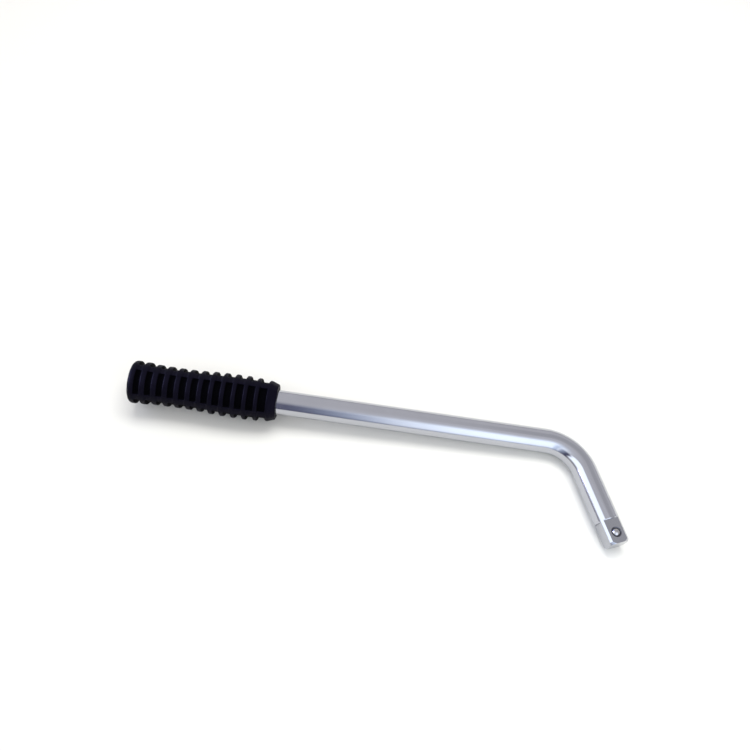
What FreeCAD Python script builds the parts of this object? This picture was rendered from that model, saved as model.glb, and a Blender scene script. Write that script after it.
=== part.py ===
import FreeCAD, Part
import math
import os

# L-shaped lug wrench: one bent round bar with a square drive milled on its short arm,
# a sprung detent ball in the drive, and a ribbed rubber grip on the long end.
#
# Millimetres. The origin is the centre of the drive's end face. The L lies in the XY plane,
# the long bar runs along X with the grip at -X, and the ball looks up, along +Z.

Vec = FreeCAD.Vector
EX = Vec(1, 0, 0)
EZ = Vec(0, 0, 1)

# bar and bend
BAR_DIAMETER = 16.0
BAR_R = BAR_DIAMETER / 2
TURN_DEG = 68.0              # how far the short arm turns away from the long bar
BEND_R = 28.0                # centreline radius of the bend
ARM_LENGTH = 68.5            # from the corner where the two axes cross to the drive's end face
BAR_LENGTH = 284.7           # from that corner to the bar's end inside the grip
BAR_END_CHAMFER = 1.5
CUT_REACH_R = 10.0           # the blanks that cut the bar stand this far out from its axis
CUT_PAST = 1.0               # and run past its faces by this

# square drive, for sockets with a 1/2 inch square
SQUARE = 12.7
SQUARE_LENGTH = 15.1
DRIVE_TIP_CHAMFER = 1.6      # along the axis
DRIVE_TIP_R = 6.9            # radius of the cone at the end face
SHOULDER_CHAMFER = 0.4       # on the round bar, where the milled square begins

# detent in the upper face of the square
BALL_DIAMETER = 5.5
BALL_FROM_END = 6.7
DETENT_CLEARANCE = 0.05      # between the ball and its bore and seat
DETENT_MOUTH_R = 2.4         # the staked mouth that keeps the ball in
DETENT_FLOOR_Z = -3.5        # floor of the blind bore
STAKE_DEPTH = 0.3            # ring pressed into the face around the mouth
STAKE_FLOOR_R = 2.75
STAKE_TOP_R = 3.25

# detent spring
WIRE_DIAMETER = 0.7
COIL_R = 2.1                 # to the middle of the wire
END_PITCH = 0.74             # the first and last turn lie almost closed
ACTIVE_TURNS = 3

# rubber grip: distances along the bar are from the corner, positive towards the grip's butt
GRIP_FRONT = 194.9
GRIP_BUTT = 288.8
RIB_PITCH = 7.15
BUTT_CREST = 286.0           # the first crest, on the butt flange
CREST_RADII = [14.0, 13.75, 13.2, 13.1, 13.05, 13.15, 13.45, 13.95, 14.2, 14.35, 14.35, 14.0]
VALLEY_RADII = [12.2, 11.9, 11.45, 11.4, 11.4, 11.5, 11.7, 11.95, 12.25, 12.25, 12.2, 11.65]
CREST_WIDTH_BUTT = 3.4       # flat width of the first rib, at the butt
CREST_WIDTH_FRONT = 2.3      # flat width of the last rib, at the front
FLANK = 0.9                  # how far each flank of a groove leans along the bar
BUTT_ROUND = 2.4             # round on the butt's rim
FRONT_CREST_R = 13.3
FRONT_FACE_R = 11.5          # the front flange tapers down to this at its face
FRONT_CREST_WIDTH = 1.4
WEB_WIDTH = 4.8              # the ties that cross the grooves lengthwise
WEB_COUNT = 4
WEB_TURN_DEG = -18.5         # the grip is pushed on with its ties this far off the L's own planes
WEB_DROP = 0.35              # the ties stay this much lower than the ribs
WEB_ROOT_R = 10.0            # and reach down into the sleeve to this radius

# the corner where the axes cross, seen from the end face, and the short arm's direction
TURN = math.radians(TURN_DEG)
ARM = Vec(math.cos(TURN), -math.sin(TURN), 0)
ARM_SIDE = Vec(math.sin(TURN), math.cos(TURN), 0)
CORNER = ARM * -ARM_LENGTH
TANGENT = BEND_R * math.tan(TURN / 2)


def along_bar(distance, radius=0.0):
    """A point in the XY plane: that far from the corner towards the butt, and out from the bar's axis."""
    return CORNER + Vec(-distance, radius, 0)


def segment(a, b):
    return Part.makeLine(a, b)


def bar_body():
    """The round bar with its bend, before the square is milled."""
    butt = along_bar(BAR_LENGTH)
    bend_in = along_bar(TANGENT)
    bend_out = CORNER + ARM * TANGENT
    centre = bend_in + Vec(0, -BEND_R, 0)
    to_middle = Vec(math.sin(TURN / 2), math.cos(TURN / 2), 0)
    bend = Part.Arc(bend_in, centre + to_middle * BEND_R, bend_out).toShape()
    path = Part.Wire([segment(butt, bend_in), bend, segment(bend_out, Vec(0, 0, 0))])
    circle = Part.Wire(Part.makeCircle(BAR_R, butt, EX))
    body = path.makePipeShell([circle], True, True)
    slim = BAR_R - BAR_END_CHAMFER
    blank = Part.makeCylinder(CUT_REACH_R, BAR_END_CHAMFER, butt, EX)
    cone = Part.makeCone(slim, BAR_R, BAR_END_CHAMFER, butt, EX)
    return body.cut(blank.cut(cone))


def milled_corners():
    """What the milling takes away: all that is outside the square, from the end back to the shoulder."""
    blank = Part.makeCylinder(CUT_REACH_R, SQUARE_LENGTH + 2 * CUT_PAST, ARM * -SQUARE_LENGTH, ARM)
    square = Part.makeBox(SQUARE, SQUARE, SQUARE_LENGTH + 4 * CUT_PAST)
    square.translate(Vec(-SQUARE / 2, -SQUARE / 2, -SQUARE_LENGTH - CUT_PAST))
    along_arm = FreeCAD.Placement(Vec(0, 0, 0), FreeCAD.Rotation(ARM_SIDE, EZ, ARM))
    square.Placement = along_arm.multiply(square.Placement)
    return blank.cut(square)


def outside_cone(base, direction, length, r_start, r_end):
    """The ring outside a cone that starts at base, used to chamfer a round end."""
    blank = Part.makeCylinder(CUT_REACH_R, length, base, direction)
    return blank.cut(Part.makeCone(r_start, r_end, length, base, direction))


def tip_chamfer():
    """The cone turned on the end of the drive, which takes off the square's corners."""
    return outside_cone(ARM * -DRIVE_TIP_CHAMFER, ARM, DRIVE_TIP_CHAMFER, BAR_R, DRIVE_TIP_R)


def shoulder_chamfer():
    """A small chamfer on the shoulder's rim, outside the square."""
    ring = outside_cone(
        ARM * -(SQUARE_LENGTH + SHOULDER_CHAMFER), ARM, SHOULDER_CHAMFER, BAR_R, BAR_R - SHOULDER_CHAMFER
    )
    return ring.common(milled_corners_band())


def milled_corners_band():
    """The four segments that the shoulder shows, carried back along the arm."""
    band = milled_corners()
    band.translate(ARM * -SHOULDER_CHAMFER)
    return band


def ball_centre():
    """The ball sits just under the staked mouth."""
    seat_r = BALL_DIAMETER / 2 + DETENT_CLEARANCE
    rise = math.sqrt(seat_r ** 2 - DETENT_MOUTH_R ** 2)
    return ARM * -BALL_FROM_END + EZ * (SQUARE / 2 - STAKE_DEPTH - rise)


def detent_hole():
    """The blind bore, its round seat under the mouth, and the ring staked around the mouth."""
    centre = ball_centre()
    seat_r = BALL_DIAMETER / 2 + DETENT_CLEARANCE
    floor = Vec(centre.x, centre.y, DETENT_FLOOR_Z)
    bore = Part.makeCylinder(seat_r, centre.z - DETENT_FLOOR_Z, floor, EZ)
    seat = Part.makeSphere(seat_r, centre, EZ)
    ring_base = Vec(centre.x, centre.y, SQUARE / 2 - STAKE_DEPTH)
    ring = Part.makeCone(STAKE_FLOOR_R, STAKE_TOP_R, STAKE_DEPTH, ring_base, EZ)
    above = Part.makeCylinder(STAKE_TOP_R, 2 * CUT_PAST, ring_base + EZ * STAKE_DEPTH, EZ)
    return bore.fuse([seat, ring, above])


def drive_bar():
    bar = bar_body()
    bar = bar.cut([milled_corners(), tip_chamfer(), shoulder_chamfer()])
    return bar.cut(detent_hole())


def detent_ball():
    return Part.makeSphere(BALL_DIAMETER / 2, ball_centre(), EZ)


def spring_ends():
    """Heights of the wire's middle at the floor and where the last turn carries the ball."""
    reach = (BALL_DIAMETER + WIRE_DIAMETER) / 2
    low = DETENT_FLOOR_Z + WIRE_DIAMETER / 2
    high = ball_centre().z - math.sqrt(reach ** 2 - COIL_R ** 2)
    return low, high


def detent_spring():
    """A compression spring: one nearly closed turn at each end and open turns between."""
    low, high = spring_ends()
    centre = ball_centre()
    active_pitch = (high - low - 2 * END_PITCH) / ACTIVE_TURNS
    heights = [(END_PITCH, END_PITCH), (active_pitch, active_pitch * ACTIVE_TURNS), (END_PITCH, END_PITCH)]
    edges = []
    z = low
    for pitch, height in heights:
        turn = Part.makeHelix(pitch, height, COIL_R)
        turn.translate(Vec(centre.x, centre.y, z))
        edges.extend(turn.Edges)
        z += height
    path = Part.Wire(Part.__sortEdges__(edges))
    start = Vec(centre.x + COIL_R, centre.y, low)
    wire = Part.Wire(Part.makeCircle(WIRE_DIAMETER / 2, start, Vec(0, 1, 0)))
    return path.makePipeShell([wire], True, True)


def crest_width(i):
    share = i / (len(CREST_RADII) - 1)
    return CREST_WIDTH_BUTT + (CREST_WIDTH_FRONT - CREST_WIDTH_BUTT) * share


def rib_outline():
    """The grip's outside, from the butt rim to the front face, as (distance, radius) points."""
    points = []
    for i, (crest, valley) in enumerate(zip(CREST_RADII, VALLEY_RADII)):
        place = BUTT_CREST - i * RIB_PITCH
        half = crest_width(i) / 2
        if i > 0:
            points.append((place + half, crest))
        points.append((place - half, crest))
        points.append((place - half - FLANK, valley))
        following = place - RIB_PITCH
        next_half = FRONT_CREST_WIDTH / 2
        if i + 1 < len(CREST_RADII):
            next_half = crest_width(i + 1) / 2
        points.append((following + next_half + FLANK, valley))
    last = BUTT_CREST - len(CREST_RADII) * RIB_PITCH
    points.append((last + FRONT_CREST_WIDTH / 2, FRONT_CREST_R))
    points.append((last - FRONT_CREST_WIDTH / 2, FRONT_CREST_R))
    points.append((GRIP_FRONT, FRONT_FACE_R))
    return points


def revolved(edges):
    face = Part.Face(Part.Wire(edges))
    return face.revolve(CORNER, EX, 360)


def ribbed_sleeve():
    """The solid of revolution with its grooves, closed at the butt, with the hole for the bar."""
    rim_r = CREST_RADII[0]
    outline = [along_bar(d, r) for d, r in rib_outline()]
    on_axis = along_bar(GRIP_BUTT)
    flat_end = along_bar(GRIP_BUTT, rim_r - BUTT_ROUND)
    round_end = along_bar(GRIP_BUTT - BUTT_ROUND, rim_r)
    corner_of_round = along_bar(GRIP_BUTT - BUTT_ROUND, rim_r - BUTT_ROUND)
    middle = corner_of_round + Vec(-1, 1, 0) * (BUTT_ROUND / math.sqrt(2))
    inside = [
        along_bar(GRIP_FRONT, BAR_R),
        along_bar(BAR_LENGTH - BAR_END_CHAMFER, BAR_R),
        along_bar(BAR_LENGTH, BAR_R - BAR_END_CHAMFER),
        along_bar(BAR_LENGTH),
    ]
    edges = [segment(on_axis, flat_end), Part.Arc(flat_end, middle, round_end).toShape()]
    run = [round_end] + outline + inside + [on_axis]
    edges += [segment(a, b) for a, b in zip(run, run[1:])]
    return revolved(edges)


def groove_web(turn_deg):
    """A lengthwise tie that bridges the grooves, a little lower than the ribs beside it."""
    points = [(BUTT_CREST - i * RIB_PITCH, r - WEB_DROP) for i, r in enumerate(CREST_RADII)]
    points.append((BUTT_CREST - len(CREST_RADII) * RIB_PITCH, FRONT_CREST_R - WEB_DROP))
    run = [along_bar(d, r) for d, r in points]
    run.append(along_bar(points[-1][0], WEB_ROOT_R))
    run.append(along_bar(points[0][0], WEB_ROOT_R))
    edges = [segment(a, b) for a, b in zip(run, run[1:] + run[:1])]
    slab = Part.Face(Part.Wire(edges)).extrude(EZ * WEB_WIDTH)
    slab.translate(EZ * (-WEB_WIDTH / 2))
    slab.rotate(CORNER, EX, turn_deg)
    return slab


def rubber_grip():
    webs = [groove_web(WEB_TURN_DEG + 360.0 * i / WEB_COUNT) for i in range(WEB_COUNT)]
    return ribbed_sleeve().fuse(webs).removeSplitter()


PARTS = {
    "drive_bar": drive_bar,
    "detent_ball": detent_ball,
    "detent_spring": detent_spring,
    "rubber_grip": rubber_grip,
}

os.makedirs("parts", exist_ok=True)
for name, make in PARTS.items():
    shape = make()
    if len(shape.Solids) == 1:
        shape = shape.Solids[0]
    print(name, "valid", shape.isValid(), "solids", len(shape.Solids), "volume", round(shape.Volume, 1))
    shape.exportStep(f"parts/{name}.step")
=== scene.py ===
import math

import bmesh
import bpy
from mathutils import Matrix, Vector


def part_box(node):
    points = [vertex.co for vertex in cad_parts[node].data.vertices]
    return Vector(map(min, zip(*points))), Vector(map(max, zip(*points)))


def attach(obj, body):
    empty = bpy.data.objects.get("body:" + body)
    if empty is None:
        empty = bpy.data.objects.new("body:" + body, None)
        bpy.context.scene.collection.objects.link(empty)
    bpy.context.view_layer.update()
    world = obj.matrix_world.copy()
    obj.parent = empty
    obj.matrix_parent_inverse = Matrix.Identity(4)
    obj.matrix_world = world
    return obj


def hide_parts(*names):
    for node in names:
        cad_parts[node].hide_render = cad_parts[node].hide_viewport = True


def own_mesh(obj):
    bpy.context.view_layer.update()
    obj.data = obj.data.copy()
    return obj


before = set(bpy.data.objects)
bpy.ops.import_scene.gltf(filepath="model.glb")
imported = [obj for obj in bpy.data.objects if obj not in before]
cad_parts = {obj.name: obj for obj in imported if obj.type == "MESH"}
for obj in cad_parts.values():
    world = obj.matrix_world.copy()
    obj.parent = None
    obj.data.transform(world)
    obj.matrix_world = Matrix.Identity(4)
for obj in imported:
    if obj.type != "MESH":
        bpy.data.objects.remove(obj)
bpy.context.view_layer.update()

MM = 0.001
X_AXIS = Vector((1, 0, 0))
Z_AXIS = Vector((0, 0, 1))

# ------------------------------------------------------------------ the wrench's own layout
# The same driving sizes as the CAD model, in metres. The origin is the centre of the drive's end face.
TURN = math.radians(68.0)
ARM = Vector((math.cos(TURN), -math.sin(TURN), 0))
ARM_SIDE = Vector((math.sin(TURN), math.cos(TURN), 0))
BAR_R = 8.0 * MM
BEND_R = 28.0 * MM
ARM_LENGTH = 68.5 * MM
CORNER = ARM * -ARM_LENGTH
BEND_REACH = BEND_R * math.tan(TURN / 2)
BAR_END = CORNER.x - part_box("drive_bar")[0].x      # from the corner to the bar's end in the grip
BAR_END_CHAMFER = 1.5 * MM

SQUARE = 12.7 * MM
SQUARE_LENGTH = 15.1 * MM
TIP_CHAMFER = 1.6 * MM
TIP_R = 6.9 * MM

BALL_LOW, BALL_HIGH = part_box("detent_ball")
BALL_CENTRE = (BALL_LOW + BALL_HIGH) / 2
BALL_R = (BALL_HIGH.z - BALL_LOW.z) / 2
SPRING_LOW, SPRING_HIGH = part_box("detent_spring")
BORE_R = BALL_R + 0.05 * MM
BORE_FLOOR = SPRING_LOW.z
MOUTH_R = 2.4 * MM
STAKE_FLOOR_R = 2.75 * MM
STAKE_TOP_R = 3.25 * MM
SHOULDER_CHAMFER = 0.4 * MM

# ------------------------------------------------------------------ mesh helpers


def new_object(name, bm, smooth=True):
    """A mesh object made from a bmesh, which is freed."""
    bmesh.ops.recalc_face_normals(bm, faces=bm.faces)
    for face in bm.faces:
        face.smooth = smooth
    mesh = bpy.data.meshes.new(name)
    bm.to_mesh(mesh)
    bm.free()
    obj = bpy.data.objects.new(name, mesh)
    bpy.context.scene.collection.objects.link(obj)
    return obj


def bridge_rings(bm, rings, close_loop=False):
    """Quads between neighbouring rings of vertices, all of one length."""
    pairs = list(zip(rings, rings[1:]))
    if close_loop:
        pairs.append((rings[-1], rings[0]))
    for a, b in pairs:
        count = len(a)
        for i in range(count):
            j = (i + 1) % count
            bm.faces.new((a[i], a[j], b[j], b[i]))


def ring_points(centre, side, up, radius, count):
    """Points evenly round a circle whose plane holds side and up."""
    step = 2 * math.pi / count
    return [centre + (side * math.cos(i * step) + up * math.sin(i * step)) * radius for i in range(count)]


def add_ring(bm, points):
    return [bm.verts.new(p) for p in points]


def revolve(name, profile, base, axis, side, count):
    """A closed solid turned from (height, radius) points, with a flat cap at each end."""
    up = axis.cross(side)
    bm = bmesh.new()
    rings = [add_ring(bm, ring_points(base + axis * h, side, up, r, count)) for h, r in profile]
    bridge_rings(bm, rings)
    bm.faces.new(rings[0])
    bm.faces.new(rings[-1])
    return new_object(name, bm)


def apply_modifiers(obj):
    """Turns an object's modifiers into its mesh."""
    bpy.context.view_layer.update()
    shape = obj.evaluated_get(bpy.context.evaluated_depsgraph_get())
    mesh = bpy.data.meshes.new_from_object(shape)
    obj.modifiers.clear()
    old = obj.data
    obj.data = mesh
    bpy.data.meshes.remove(old)
    mesh.name = obj.name


def cut_with(obj, cutters):
    """Takes the cutters' volumes out of an object, and keeps the cutters' materials on the new faces."""
    for cutter in cutters:
        cut = obj.modifiers.new("cut", "BOOLEAN")
        cut.operation = "DIFFERENCE"
        cut.solver = "EXACT"
        cut.object = cutter
        cut.material_mode = "TRANSFER"
        apply_modifiers(obj)
        bpy.data.objects.remove(cutter)


EDGE_ROUND = 0.12 * MM
EDGE_SEGMENTS = 3
EDGE_ANGLE = math.radians(24)        # faces that meet at more than this have a real edge between them


def round_edges(obj):
    """Small rounds on every real edge, with the shading of the faces beside them left true."""
    bevel = obj.modifiers.new("edge rounds", "BEVEL")
    bevel.width = EDGE_ROUND
    bevel.segments = EDGE_SEGMENTS
    bevel.limit_method = "ANGLE"
    bevel.angle_limit = EDGE_ANGLE
    bevel.harden_normals = True
    bevel.use_clamp_overlap = True


# ------------------------------------------------------------------ the bar
BAR_SIDES = 96
BEND_STEPS = 40
CUT_REACH = 12 * MM           # how far the cutters reach from the arm's axis, past the bar
CUT_PAST = 0.5 * MM           # how far a cutter runs past the surface it cuts
BORE_SIDES = 64
SEAT_STEPS = 10


def bar_path():
    """Centres of the bar's rings with the direction across them, from the butt to the end face."""
    across = Vector((0, 1, 0))
    stations = [(CORNER - X_AXIS * BAR_END, across)]
    stations.append((CORNER - X_AXIS * (BAR_END - BAR_END_CHAMFER), across))
    bend_in = CORNER - X_AXIS * BEND_REACH
    centre = bend_in - across * BEND_R
    for i in range(BEND_STEPS + 1):
        turn = TURN * i / BEND_STEPS
        out = Vector((math.sin(turn), math.cos(turn), 0))
        stations.append((centre + out * BEND_R, out))
    stations.append((Vector((0, 0, 0)), ARM_SIDE))
    return stations


def bent_bar():
    bm = bmesh.new()
    rings = []
    for i, (centre, out) in enumerate(bar_path()):
        radius = BAR_R - BAR_END_CHAMFER if i == 0 else BAR_R
        rings.append(add_ring(bm, ring_points(centre, out, Z_AXIS, radius, BAR_SIDES)))
    bridge_rings(bm, rings)
    bm.faces.new(rings[0])
    bm.faces.new(rings[-1])
    return new_object("drive_bar_body", bm)


def milling_block(side, material):
    """A block that mills one flat of the square: outside the flat, from the shoulder past the end."""
    across = ARM.cross(side)
    bm = bmesh.new()
    corners = []
    for along in (-SQUARE_LENGTH, CUT_REACH):
        for out in (SQUARE / 2, CUT_REACH):
            for wide in (-CUT_REACH, CUT_REACH):
                corners.append(bm.verts.new(ARM * along + side * out + across * wide))
    for face in ((0, 1, 3, 2), (4, 5, 7, 6), (0, 1, 5, 4), (2, 3, 7, 6), (0, 2, 6, 4), (1, 3, 7, 5)):
        bm.faces.new([corners[i] for i in face])
    block = new_object("milling_block", bm, smooth=False)
    block.data.materials.append(material)
    return block


def cone_ring(name, end, length, r_end, material):
    """The ring outside a cone that narrows from the bar's radius to r_end over length, ending at end."""
    slope = (BAR_R - r_end) / length
    profile = [
        (end - length - CUT_PAST, BAR_R + slope * CUT_PAST),
        (end - length - CUT_PAST, CUT_REACH),
        (end + CUT_PAST, CUT_REACH),
        (end + CUT_PAST, r_end - slope * CUT_PAST),
    ]
    bm = bmesh.new()
    rings = [add_ring(bm, ring_points(ARM * h, ARM_SIDE, Z_AXIS, r, BAR_SIDES)) for h, r in profile]
    bridge_rings(bm, rings, close_loop=True)
    ring = new_object(name, bm)
    ring.data.materials.append(material)
    return ring


def shoulder_wedge(side, material):
    """The sliver that chamfers the round bar's rim, at 45 degrees, where one flat begins."""
    across = ARM.cross(side)
    flat = SQUARE / 2 + 0.01 * MM      # just outside the flat, so that the cut doesn't graze it
    widest = math.acos(flat / BAR_R)
    back = -SQUARE_LENGTH - SHOULDER_CHAMFER
    outer = 10 * MM
    steps = 24
    bm = bmesh.new()
    sections = []
    for i in range(steps + 1):
        turn = widest * (2 * i / steps - 1)
        out = side * math.cos(turn) + across * math.sin(turn)
        rim = max(flat / math.cos(turn), BAR_R - SHOULDER_CHAMFER)
        profile = [
            (back - CUT_PAST, BAR_R + CUT_PAST),
            (back - CUT_PAST, outer),
            (-SQUARE_LENGTH + CUT_PAST, outer),
            (-SQUARE_LENGTH + CUT_PAST, rim),
            (back + BAR_R - rim, rim),
        ]
        sections.append(add_ring(bm, [ARM * along + out * radius for along, radius in profile]))
    bridge_rings(bm, sections)
    bm.faces.new(sections[0])
    bm.faces.new(sections[-1])
    wedge = new_object("shoulder_wedge", bm)
    wedge.data.materials.append(material)
    return wedge


def detent_cutter(material):
    """The blind bore, its round seat, the staked ring, and the space above them."""
    rise = math.sqrt(BORE_R ** 2 - MOUTH_R ** 2)
    mouth = BALL_CENTRE.z + rise
    face = SQUARE / 2
    above = 2 * MM
    seat_angle = math.acos(rise / BORE_R)
    profile = [(BORE_FLOOR, BORE_R)]
    for i in range(SEAT_STEPS + 1):
        angle = math.pi / 2 + (seat_angle - math.pi / 2) * i / SEAT_STEPS
        profile.append((BALL_CENTRE.z + BORE_R * math.cos(angle), BORE_R * math.sin(angle)))
    profile += [(mouth, STAKE_FLOOR_R), (face, STAKE_TOP_R), (face + above, STAKE_TOP_R + above)]
    base = Vector((BALL_CENTRE.x, BALL_CENTRE.y, 0))
    cutter = revolve("detent_cutter", profile, base, Z_AXIS, X_AXIS, BORE_SIDES)
    cutter.data.materials.append(material)
    return cutter


def make_drive_bar(plated, milled, bored):
    bar = bent_bar()
    bar.name = "drive_bar_plated"
    bar.data.materials.append(plated)
    sides = [ARM_SIDE, -ARM_SIDE, Z_AXIS, -Z_AXIS]
    cut_with(bar, [milling_block(side, milled) for side in sides])
    cut_with(bar, [shoulder_wedge(side, plated) for side in sides])
    cut_with(bar, [cone_ring("tip_ring", 0.0, TIP_CHAMFER, TIP_R, milled), detent_cutter(bored)])
    round_edges(bar)
    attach(bar, "wrench")
    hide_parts("drive_bar")


# ------------------------------------------------------------------ detent ball and spring
BALL_CUTS = 23               # how often each edge of the ball's starting cube is cut


def make_ball(material):
    """A ball of even quads, from a cube whose faces are divided and drawn out to the sphere."""
    bm = bmesh.new()
    bmesh.ops.create_cube(bm, size=2.0)
    bmesh.ops.subdivide_edges(bm, edges=bm.edges[:], cuts=BALL_CUTS, use_grid_fill=True)
    for v in bm.verts:
        angles = [math.tan(c * math.pi / 4) for c in v.co]
        v.co = BALL_CENTRE + Vector(angles).normalized() * BALL_R
    ball = new_object("detent_ball_polished", bm)
    ball.data.materials.append(material)
    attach(ball, "ball")
    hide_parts("detent_ball")


WIRE_R = 0.35 * MM
WIRE_SIDES = 14
COIL_R = 2.1 * MM
END_PITCH = 0.74 * MM
ACTIVE_TURNS = 3
TURN_STEPS = 40


def coil_height(turns, low, high):
    """Height of the wire's middle after that many turns: a closed one, the open ones, a closed one."""
    pitch = (high - low - 2 * END_PITCH) / ACTIVE_TURNS
    opened = min(max(turns - 1, 0), ACTIVE_TURNS)
    closed = min(turns, 1) + max(turns - 1 - ACTIVE_TURNS, 0)
    return low + closed * END_PITCH + opened * pitch


def make_spring(material):
    low = SPRING_LOW.z + WIRE_R
    high = SPRING_HIGH.z - WIRE_R
    steps = (ACTIVE_TURNS + 2) * TURN_STEPS
    bm = bmesh.new()
    rings = []
    for i in range(steps + 1):
        turns = i / TURN_STEPS
        angle = turns * 2 * math.pi
        out = Vector((math.cos(angle), math.sin(angle), 0))
        centre = Vector((BALL_CENTRE.x, BALL_CENTRE.y, coil_height(turns, low, high))) + out * COIL_R
        rings.append(add_ring(bm, ring_points(centre, out, Z_AXIS, WIRE_R, WIRE_SIDES)))
    bridge_rings(bm, rings)
    bm.faces.new(rings[0])
    bm.faces.new(rings[-1])
    spring = new_object("detent_spring_coil", bm)
    spring.data.materials.append(material)
    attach(spring, "wrench")
    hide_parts("detent_spring")
    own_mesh(spring)


# ------------------------------------------------------------------ rubber grip
GRIP_LOW, GRIP_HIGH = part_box("rubber_grip")
GRIP_BUTT = CORNER.x - GRIP_LOW.x
GRIP_FRONT = CORNER.x - GRIP_HIGH.x
RIB_PITCH = 7.15 * MM
BUTT_CREST = GRIP_BUTT - 2.8 * MM
# the radii of the twelve ribs, and of the groove after each, in millimetres from the butt to the front
CREST_RADII = [14.0, 13.75, 13.2, 13.1, 13.05, 13.15, 13.45, 13.95, 14.2, 14.35, 14.35, 14.0]
VALLEY_RADII = [12.2, 11.9, 11.45, 11.4, 11.4, 11.5, 11.7, 11.95, 12.25, 12.25, 12.2, 11.65]
CREST_WIDTH_BUTT = 3.4 * MM
CREST_WIDTH_FRONT = 2.3 * MM
FLANK = 0.9 * MM
FRONT_CREST_R = 13.3 * MM
FRONT_FACE_R = 11.5 * MM
FRONT_CREST_WIDTH = 1.4 * MM
FRONT_RISE = 0.6             # how much the front taper widens for each unit back from the front face
BUTT_DOME = 0.35 * MM
BUTT_ROUND = 2.2 * MM
FULLEST_RIB = 9.5            # the grip is widest halfway between the tenth and the eleventh rib
WEB_TURN = math.radians(-18.5)
WEB_DROP = 0.35 * MM
EDGE = 0.35 * MM             # how near the second loop lies to a slot's edge, which sets its round
CREST_EDGE = 0.75 * MM       # the same on the ribs, which are rounder

# angles round a quarter of the grip from the middle of a web, in degrees, and whether they are in the slot
QUARTER = [
    (0.0, False), (8.2, False), (9.9, False), (12.0, True), (13.8, True), (28.0, True),
    (45.0, True), (62.0, True), (76.2, True), (78.0, True), (80.1, False), (81.8, False),
]


def crest_width(i):
    share = i / (len(CREST_RADII) - 1)
    return CREST_WIDTH_BUTT + (CREST_WIDTH_FRONT - CREST_WIDTH_BUTT) * share


def outside_rings():
    """(distance, radius on ribs and webs, radius in slots) for each ring, from the butt to the front."""
    rings = []
    count = len(CREST_RADII)
    for i in range(count):
        place = BUTT_CREST - i * RIB_PITCH
        half = crest_width(i) / 2
        crest = CREST_RADII[i] * MM
        valley = VALLEY_RADII[i] * MM
        next_crest = CREST_RADII[i + 1] * MM if i + 1 < count else FRONT_CREST_R
        next_half = crest_width(i + 1) / 2 if i + 1 < count else FRONT_CREST_WIDTH / 2
        following = place - RIB_PITCH
        if i > 0:
            rings.append((place + half, crest, crest))
            rings.append((place + half - CREST_EDGE, crest, crest))
        rings.append((place - half + CREST_EDGE, crest, crest))
        rings.append((place - half, crest, crest))
        web = (crest + next_crest) / 2 - WEB_DROP
        near = place - half - FLANK
        far = following + next_half + FLANK
        rings += [(place, web, valley) for place in (near, near - EDGE, far + EDGE, far)]
    last = BUTT_CREST - count * RIB_PITCH
    half = FRONT_CREST_WIDTH / 2
    for place, radius in (
        (last + half, FRONT_CREST_R),
        (last + half - EDGE, FRONT_CREST_R),
        (last - half + EDGE, FRONT_CREST_R),
        (last - half, FRONT_CREST_R),
        (GRIP_FRONT + EDGE, FRONT_FACE_R + EDGE * FRONT_RISE),
        (GRIP_FRONT, FRONT_FACE_R),
    ):
        rings.append((place, radius, radius))
    return rings


def butt_rings():
    """The gently domed butt and its rounded rim."""
    rim = CREST_RADII[0] * MM
    spots = [(0.0, 0.18), (0.02, 0.45), (0.12, 0.68), (0.4, 0.82)]
    rings = [(GRIP_BUTT - BUTT_DOME * drop, rim * share, rim * share) for drop, share in spots]
    for turn_deg in (12, 35, 58, 80):
        turn = math.radians(turn_deg)
        place = GRIP_BUTT - BUTT_DOME - BUTT_ROUND * (1 - math.cos(turn))
        radius = rim - BUTT_ROUND * (1 - math.sin(turn))
        rings.append((place, radius, radius))
    return rings


def bore_rings():
    """The front face, the lip at the bar and the blind bore."""
    lip = 0.5 * MM
    wall = BAR_R + 0.02 * MM
    deep = BAR_END + 0.1 * MM
    spots = [
        (GRIP_FRONT, FRONT_FACE_R - EDGE),
        (GRIP_FRONT, wall + lip + EDGE),
        (GRIP_FRONT, wall + lip),
        (GRIP_FRONT + lip, wall),
        (GRIP_FRONT + lip + EDGE, wall),
        (deep - BAR_END_CHAMFER, wall),
        (deep, wall - BAR_END_CHAMFER),
        (deep, wall * 0.4),
    ]
    return [(place, radius, radius) for place, radius in spots]


def grip_angles():
    angles = []
    for quarter in range(4):
        for degrees, in_slot in QUARTER:
            angles.append((WEB_TURN + math.radians(degrees + 90 * quarter), in_slot))
    return angles


def mark_slots(bm, spots, angles):
    """Gives the second material, the darker rubber that holds painted shade, to the faces in the slots,
    down to their floors and walls.
    """
    count = len(angles)
    for i, face in enumerate(bm.faces):
        a, b = spots[i // count], spots[i // count + 1]
        sunk = a[1] != a[2] or b[1] != b[2]
        around = angles[i % count][1] or angles[(i + 1) % count][1]
        face.material_index = int(sunk and around)


def make_grip(material, slot_painted_shade_material):
    angles = grip_angles()
    spots = butt_rings() + outside_rings() + bore_rings()
    bm = bmesh.new()
    rings = []
    for place, proud, deep in spots:
        ring = []
        for angle, in_slot in angles:
            radius = deep if in_slot else proud
            ring.append(CORNER + Vector((-place, math.cos(angle) * radius, math.sin(angle) * radius)))
        rings.append(add_ring(bm, ring))
    bridge_rings(bm, rings)
    mark_slots(bm, spots, angles)
    for ring in (rings[0], rings[-1]):
        middle = sum((v.co for v in ring), Vector()) / len(ring)
        pole = bm.verts.new(middle)
        for i, v in enumerate(ring):
            bm.faces.new((v, ring[(i + 1) % len(ring)], pole))
    grip = new_object("rubber_grip_moulded", bm)
    grip.data.materials.append(material)
    # the second material paints shade into the slots
    grip.data.materials.append(slot_painted_shade_material)
    smooth = grip.modifiers.new("moulded rounds", "SUBSURF")
    smooth.levels = 2
    smooth.render_levels = 2
    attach(grip, "wrench")
    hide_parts("rubber_grip")


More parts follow.
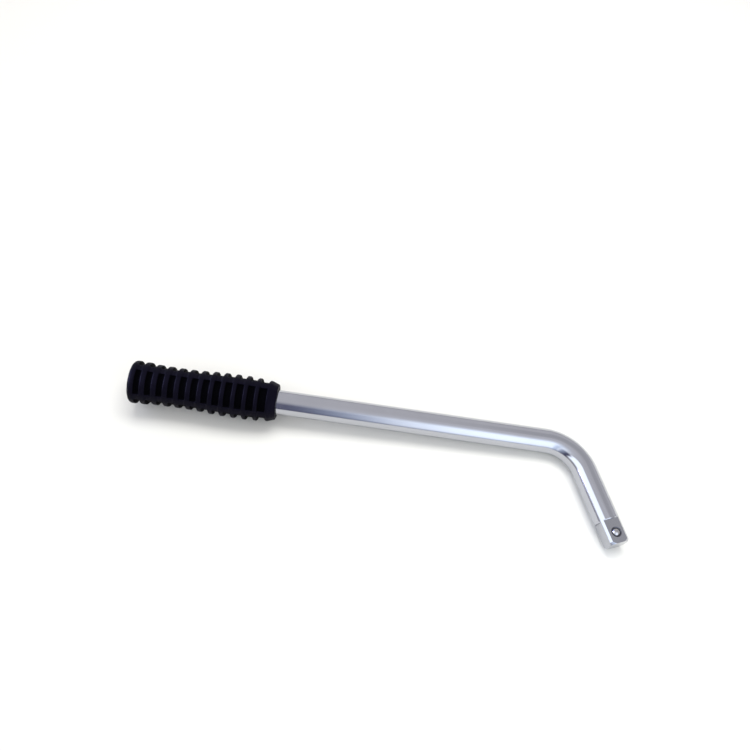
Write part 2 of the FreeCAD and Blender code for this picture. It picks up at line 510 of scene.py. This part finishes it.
# ------------------------------------------------------------------ materials


class Nodes:
    """A node tree with short calls to add and join its nodes."""

    def __init__(self, tree):
        self.tree = tree

    def add(self, kind, inputs=None, **settings):
        node = self.tree.nodes.new(kind)
        for key, value in settings.items():
            setattr(node, key, value)
        for key, value in (inputs or {}).items():
            node.inputs[key].default_value = value
        return node

    def join(self, source, output, target, socket):
        self.tree.links.new(source.outputs[output], target.inputs[socket])

    def place(self, scale=(1, 1, 1)):
        """The point in the row frame, in metres, stretched by scale."""
        coords = self.add("ShaderNodeTexCoord")
        mapping = self.add("ShaderNodeMapping")
        mapping.inputs["Scale"].default_value = scale
        self.join(coords, "Object", mapping, "Vector")
        return mapping

    def noise(self, place, scale, detail=4.0, rough=0.55):
        node = self.add("ShaderNodeTexNoise", {"Scale": scale, "Detail": detail, "Roughness": rough})
        self.join(place, "Vector", node, "Vector")
        return node

    def ramp(self, source, output, stops):
        """A colour ramp through (position, colour) stops."""
        node = self.add("ShaderNodeValToRGB")
        points = node.color_ramp.elements
        while len(points) < len(stops):
            points.new(0.5)
        for point, (position, colour) in zip(points, stops):
            point.position = position
            point.color = (*colour, 1.0)
        self.join(source, output, node, "Fac")
        return node

    def span(self, source, output, low, high, from_low=0.0, from_high=1.0, ease="LINEAR"):
        """Maps from_low..from_high onto low..high, held at both ends."""
        node = self.add("ShaderNodeMapRange", interpolation_type=ease)
        values = {"From Min": from_low, "From Max": from_high, "To Min": low, "To Max": high}
        for socket, value in values.items():
            node.inputs[socket].default_value = value
        self.join(source, output, node, "Value")
        return node

    def bump(self, source, output, depth, strength=1.0, before=None):
        node = self.add("ShaderNodeBump", {"Strength": strength, "Distance": depth})
        self.join(source, output, node, "Height")
        if before:
            self.join(before, "Normal", node, "Normal")
        return node

    def math(self, operation, first, second):
        """A math node on two (node, output) pairs."""
        node = self.add("ShaderNodeMath", operation=operation)
        self.join(*first, node, 0)
        self.join(*second, node, 1)
        return node


def new_material(name):
    """A material with its Principled shader, and the nodes to work on it with."""
    material = bpy.data.materials.new(name)
    material.use_nodes = True
    nodes = Nodes(material.node_tree)
    return material, nodes, material.node_tree.nodes["Principled BSDF"]


def window(nodes, value, output, edges):
    """1 between the two inner edges, 0 outside the outer ones."""
    rise = nodes.span(value, output, 0.0, 1.0, edges[0], edges[1], "SMOOTHSTEP")
    fall = nodes.span(value, output, 1.0, 0.0, edges[2], edges[3], "SMOOTHSTEP")
    return nodes.math("MULTIPLY", (rise, "Result"), (fall, "Result"))


WAVES = 0.004 * MM           # the slight unevenness under the plating
CLOUD_SCALE = 60.0           # the noises' scales are in features per metre
WAVE_SCALE = 240.0
MARK_SCALE = 900.0
GRAIN_SCALE = 2200.0
NOISE_SPAN = (0.3, 0.7)      # where most of a noise's values lie
PLATE_CLOUD = 1.04           # how much paler the plating's palest clouds are
BORE_TONES = ((0.05, 0.05, 0.06), (0.13, 0.13, 0.15))
RUBBER_CLOUD_SCALE = 160.0
RUBBER_CLOUD = 1.3
RUBBER_GRAIN_SCALE = 2600.0
RUBBER_GRAIN = 0.03 * MM
RUBBER_SHEEN = (0.62, 0.56, 1.0)     # the violet of the rubber's reflections


def chrome_material(name, tint, rough_low, rough_high, grain, marks=None):
    """Plated steel: slightly clouded colour and polish, a fine grain, and cutter marks if it is milled."""
    material, nodes, shader = new_material(name)
    shader.inputs["Metallic"].default_value = 1.0
    place = nodes.place()
    cloud = nodes.noise(place, CLOUD_SCALE)
    pale = tuple(c * PLATE_CLOUD for c in tint)
    colour = nodes.ramp(cloud, "Fac", list(zip(NOISE_SPAN, (tint, pale))))
    nodes.join(colour, "Color", shader, "Base Color")
    fine = nodes.noise(place, GRAIN_SCALE, 3.0)
    rough = nodes.span(fine, "Fac", rough_low, rough_high, *NOISE_SPAN)
    nodes.join(rough, "Result", shader, "Roughness")
    waves = nodes.noise(place, WAVE_SCALE, 2.0)
    bump = nodes.bump(waves, "Fac", WAVES)
    bump = nodes.bump(fine, "Fac", grain, 1.0, bump)
    if marks:
        stretched = nodes.place(marks)
        # this turn follows the stretch, so it picks the part of the noise and doesn't turn the marks
        stretched.inputs["Rotation"].default_value = (0, 0, TURN)
        lines = nodes.noise(stretched, MARK_SCALE, 2.0)
        bump = nodes.bump(lines, "Fac", grain, 0.8, bump)
    nodes.join(bump, "Normal", shader, "Normal")
    return material


def dark_steel_material():
    """The steel of the bore, its seat and the staked ring: dark, in small clouds."""
    material, nodes, shader = new_material("dark_bore_steel")
    shader.inputs["Metallic"].default_value = 1.0
    place = nodes.place()
    cloud = nodes.noise(place, MARK_SCALE)
    colour = nodes.ramp(cloud, "Fac", [(0.3, BORE_TONES[0]), (0.75, BORE_TONES[1])])
    nodes.join(colour, "Color", shader, "Base Color")
    rough = nodes.span(cloud, "Fac", 0.3, 0.5)
    nodes.join(rough, "Result", shader, "Roughness")
    return material


def rubber_material(name, colour, shine, rough_low, rough_high):
    """Black rubber with a moulded grain, a little clouded in its colour and polish."""
    material, nodes, shader = new_material(name)
    place = nodes.place()
    cloud = nodes.noise(place, RUBBER_CLOUD_SCALE)
    pale = tuple(c * RUBBER_CLOUD for c in colour)
    tones = nodes.ramp(cloud, "Fac", list(zip(NOISE_SPAN, (colour, pale))))
    nodes.join(tones, "Color", shader, "Base Color")
    rough = nodes.span(cloud, "Fac", rough_low, rough_high, *NOISE_SPAN)
    nodes.join(rough, "Result", shader, "Roughness")
    shader.inputs["Specular IOR Level"].default_value = shine
    shader.inputs["Specular Tint"].default_value = (*RUBBER_SHEEN, 1.0)
    grain = nodes.noise(place, RUBBER_GRAIN_SCALE, 5.0, 0.6)
    bump = nodes.bump(grain, "Fac", RUBBER_GRAIN, 0.6)
    nodes.join(bump, "Normal", shader, "Normal")
    return material


PLATE_TINT = (0.443, 0.451, 0.487)
MILLED_TINT = (0.40, 0.405, 0.435)
BALL_TINT = (0.42, 0.41, 0.42)
WIRE_TINT = (0.42, 0.42, 0.43)
MILLING_MARKS = (0.12, 1, 1)          # the marks run along X, about eight times longer than they are wide
RIB_BLACK = (0.0022, 0.0019, 0.0042)
# the slots' black is darker than the ribs': painted shade in the grip's slots
SLOT_PAINTED_SHADE = (0.0006, 0.0006, 0.0008)

plated = chrome_material("satin_chrome_plate", PLATE_TINT, 0.10, 0.15, 0.0015 * MM)
milled = chrome_material("milled_chrome_plate", MILLED_TINT, 0.15, 0.21, 0.004 * MM, MILLING_MARKS)
bored = dark_steel_material()
polished = chrome_material("polished_ball_steel", BALL_TINT, 0.06, 0.10, 0.0005 * MM)
spring_wire = chrome_material("drawn_spring_wire", WIRE_TINT, 0.3, 0.4, 0.003 * MM)
rubber = rubber_material("black_moulded_rubber", RIB_BLACK, 0.05, 0.42, 0.54)
# a darker, rougher copy of the rubber for the slots: its extra darkness is painted shade
slot_painted_shade_rubber = rubber_material("dull_slot_painted_shade_rubber", SLOT_PAINTED_SHADE, 0.02, 0.6, 0.72)

make_drive_bar(plated, milled, bored)
make_ball(polished)
make_spring(spring_wire)
make_grip(rubber, slot_painted_shade_rubber)

# ------------------------------------------------------------------ floor, light and camera


def support_plane():
    """The plane the wrench lies on: under the grip's fullest rib, the bend and the end of the arm."""
    rib = CORNER - X_AXIS * (BUTT_CREST - FULLEST_RIB * RIB_PITCH)
    spots = [(rib, -GRIP_LOW.z), (CORNER - X_AXIS * BEND_REACH, BAR_R), (ARM * -SQUARE_LENGTH, BAR_R)]
    points = [Vector((p.x, p.y, -drop)) for p, drop in spots]
    normal = (points[1] - points[0]).cross(points[2] - points[0]).normalized()
    if normal.z < 0:
        normal.negate()
    return points[0], normal


FLOOR_TONES = ((0.680, 0.652, 0.592), (0.694, 0.666, 0.604))
FLOOR_CLOUD_SCALE = 3.0
FLOOR_HALF = 3.0
DOME_R = 2.6


def floor_material():
    material, nodes, shader = new_material("pale_floor")
    place = nodes.place()
    cloud = nodes.noise(place, FLOOR_CLOUD_SCALE)
    colour = nodes.ramp(cloud, "Fac", list(zip(NOISE_SPAN, FLOOR_TONES)))
    nodes.join(colour, "Color", shader, "Base Color")
    shader.inputs["Roughness"].default_value = 0.9
    shader.inputs["Specular IOR Level"].default_value = 0.1
    return material


def make_floor(material):
    point, normal = support_plane()
    bm = bmesh.new()
    bmesh.ops.create_grid(bm, x_segments=1, y_segments=1, size=FLOOR_HALF)
    floor = new_object("floor", bm, smooth=False)
    turn = Z_AXIS.rotation_difference(normal)
    floor.matrix_world = Matrix.Translation(point) @ turn.to_matrix().to_4x4()
    floor.data.materials.append(material)


def make_backdrop(material):
    """A wide pale dome behind everything: it casts no light, reflection or shadow on the rest."""
    bm = bmesh.new()
    bmesh.ops.create_uvsphere(bm, u_segments=64, v_segments=32, radius=DOME_R)
    dome = new_object("backdrop", bm)
    dome.data.materials.append(material)
    dome.visible_diffuse = False
    dome.visible_glossy = False
    dome.visible_shadow = False


def look_rotation(direction, roll=0.0):
    """The rotation of a camera or light that points along direction, then turned about it."""
    return direction.to_track_quat("-Z", "Y").to_matrix() @ Matrix.Rotation(roll, 3, "Z")


def soft_light(name, place, target, size, watts, colour):
    """A rectangular area light that isn't itself seen by the camera."""
    light = bpy.data.lights.new(name, "AREA")
    light.shape = "RECTANGLE"
    light.size, light.size_y = size
    light.energy = watts
    light.color = colour
    obj = bpy.data.objects.new(name, light)
    bpy.context.scene.collection.objects.link(obj)
    turn = look_rotation((target - place).normalized())
    obj.matrix_world = Matrix.Translation(place) @ turn.to_4x4()
    obj.visible_camera = False
    return obj


CARD_R = 0.4                 # the light card curves round the long bar at this distance
CARD_X = (-0.45, 0.35)
CARD_TURN = (0.0, 96.0)      # from level, on the camera's side, up to just past overhead, in degrees
CARD_FADE = (-0.250, -0.030)  # along the bar: dark at the grip's end, full at the bend's end
CARD_HEIGHTS = (-0.14, 0.19, 0.32, 0.415)
CARD_TONE = (1.18, 1.38, 1.63)


def card_material():
    """Light added to what is behind the card, fading along the bar and towards the card's edges."""
    material, nodes, shader = new_material("light_card")
    material.node_tree.nodes.remove(shader)
    apart = nodes.add("ShaderNodeSeparateXYZ")
    nodes.join(nodes.place(), "Vector", apart, "Vector")
    along = nodes.span(apart, "X", 0.0, 1.0, *CARD_FADE)
    height = window(nodes, apart, "Z", CARD_HEIGHTS)
    mask = nodes.math("MULTIPLY", (along, "Result"), (height, "Value"))
    glow = nodes.add("ShaderNodeEmission", {"Color": (*CARD_TONE, 1.0)})
    nodes.join(mask, "Value", glow, "Strength")
    clear = nodes.add("ShaderNodeBsdfTransparent")
    both = nodes.add("ShaderNodeAddShader")
    nodes.join(glow, "Emission", both, 0)
    nodes.join(clear, "BSDF", both, 1)
    nodes.join(both, "Shader", nodes.tree.nodes["Material Output"], "Surface")
    return material


def make_light_card():
    """A soft box that curves round the long bar on the camera's side, and is itself not looked at."""
    steps = 24
    bm = bmesh.new()
    rows = []
    for i in range(steps + 1):
        turn = math.radians(CARD_TURN[0] + (CARD_TURN[1] - CARD_TURN[0]) * i / steps)
        y = CORNER.y - CARD_R * math.cos(turn)
        z = CARD_R * math.sin(turn)
        rows.append([bm.verts.new((x, y, z)) for x in CARD_X])
    for a, b in zip(rows, rows[1:]):
        bm.faces.new((a[0], a[1], b[1], b[0]))
    card = new_object("light_card", bm)
    card.data.materials.append(card_material())
    card.visible_camera = False


# The room seen in the plating: an even pale tent, with panels in it that are brighter or darker. A panel
# fills a range of directions: for x, y and z of the direction, the lower edge, the upper edge and how soft
# each is, as (start, full, full, end), and then its colour.
TENT = (0.70, 0.695, 0.725)
ROOM_STRENGTH = 1.13
# edges past every direction, for a panel with no limit on that side
BELOW = (-2.0, -1.5)
ABOVE = (1.5, 2.0)
PANELS = [
    ((*BELOW, *ABOVE), (*BELOW, *ABOVE), (-0.08, 0.0, 0.08, 0.18), (0.38, 0.38, 0.42)),
    ((-0.17, -0.11, -0.02, 0.10), (*BELOW, -0.40, -0.15), (-0.05, 0.05, 0.68, 1.03), (0.11, 0.115, 0.20)),
    ((*BELOW, -0.58, -0.46), (*BELOW, 0.30, 0.45), (0.20, 0.34, 0.88, 0.93), (1.82, 1.95, 2.12)),
    ((-0.66, -0.56, -0.30, -0.15), (*BELOW, -0.62, -0.48), (-0.05, 0.10, 0.60, 0.74), (0.10, 0.10, 0.17)),
    ((*BELOW, -0.70, -0.45), (0.10, 0.30, 0.80, 0.95), (-0.20, -0.05, 0.35, 0.55), (1.10, 1.35, 2.40)),
    ((0.10, 0.30, 0.60, 0.80), (0.05, 0.30, 0.60, 0.80), (*BELOW, *ABOVE), (0.55, 0.55, 0.58)),
]


def make_world():
    world = bpy.data.worlds.new("studio")
    world.use_nodes = True
    nodes = Nodes(world.node_tree)
    coords = nodes.add("ShaderNodeTexCoord")
    split = nodes.add("ShaderNodeSeparateXYZ")
    nodes.join(coords, "Generated", split, "Vector")
    colour = None
    for x_edges, y_edges, z_edges, tone in PANELS:
        mask = window(nodes, split, "X", x_edges)
        for output, edges in (("Y", y_edges), ("Z", z_edges)):
            part = window(nodes, split, output, edges)
            mask = nodes.math("MULTIPLY", (mask, "Value"), (part, "Value"))
        mix = nodes.add("ShaderNodeMixRGB")
        mix.inputs["Color1"].default_value = (*TENT, 1.0)
        mix.inputs["Color2"].default_value = (*tone, 1.0)
        nodes.join(mask, "Value", mix, "Fac")
        if colour:
            nodes.join(colour, "Color", mix, "Color1")
        colour = mix
    background = world.node_tree.nodes["Background"]
    nodes.join(colour, "Color", background, "Color")
    background.inputs["Strength"].default_value = ROOM_STRENGTH
    bpy.context.scene.world = world


VIEW_AZIMUTH = math.radians(3.34)      # the camera looks this far round from +Y towards +X
VIEW_ELEVATION = math.radians(60.04)   # and this far down
VIEW_ROLL = math.radians(11.22)
VIEW_DISTANCE = 472.8 * MM
VIEW_TARGET = CORNER + Vector((-134.5, 30.6, 0)) * MM   # the point looked at
LENS_MM = 33.81
SENSOR_MM = 36.0
CLIP_START = 10 * MM


def make_camera():
    level = math.cos(VIEW_ELEVATION)
    drop = math.sin(VIEW_ELEVATION)
    forward = Vector((math.sin(VIEW_AZIMUTH) * level, math.cos(VIEW_AZIMUTH) * level, -drop))
    camera = bpy.data.cameras.new("camera")
    camera.lens = LENS_MM
    camera.sensor_width = SENSOR_MM
    camera.clip_start = CLIP_START
    obj = bpy.data.objects.new("camera", camera)
    bpy.context.scene.collection.objects.link(obj)
    turn = look_rotation(forward, VIEW_ROLL)
    obj.matrix_world = Matrix.Translation(VIEW_TARGET - forward * VIEW_DISTANCE) @ turn.to_4x4()
    bpy.context.scene.camera = obj


# the key lights the floor from above and behind, and the rim light, by the butt, only adds a cool gleam
KEY_PLACE = Vector((-0.12, 0.37, 0.94))
KEY_TARGET = Vector((-0.17, 0.05, 0))
KEY_SIZE = (0.8, 0.4)
KEY_WATTS = 8.4
KEY_COLOUR = (0.93, 0.965, 1.0)
RIM_PLACE = Vector((-0.533, 0.058, 0.118))
RIM_TARGET = Vector((-0.31, 0.063, 0.005))
RIM_SIZE = (0.14, 0.14)
RIM_WATTS = 1.7
RIM_COLOUR = (0.62, 0.64, 1.0)

pale = floor_material()
make_floor(pale)
make_backdrop(pale)
make_world()
make_light_card()
key = soft_light("key", KEY_PLACE, KEY_TARGET, KEY_SIZE, KEY_WATTS, KEY_COLOUR)
key.visible_glossy = False
rim = soft_light("rim", RIM_PLACE, RIM_TARGET, RIM_SIZE, RIM_WATTS, RIM_COLOUR)
rim.visible_diffuse = False
make_camera()
bpy.context.scene.view_settings.view_transform = "Standard"
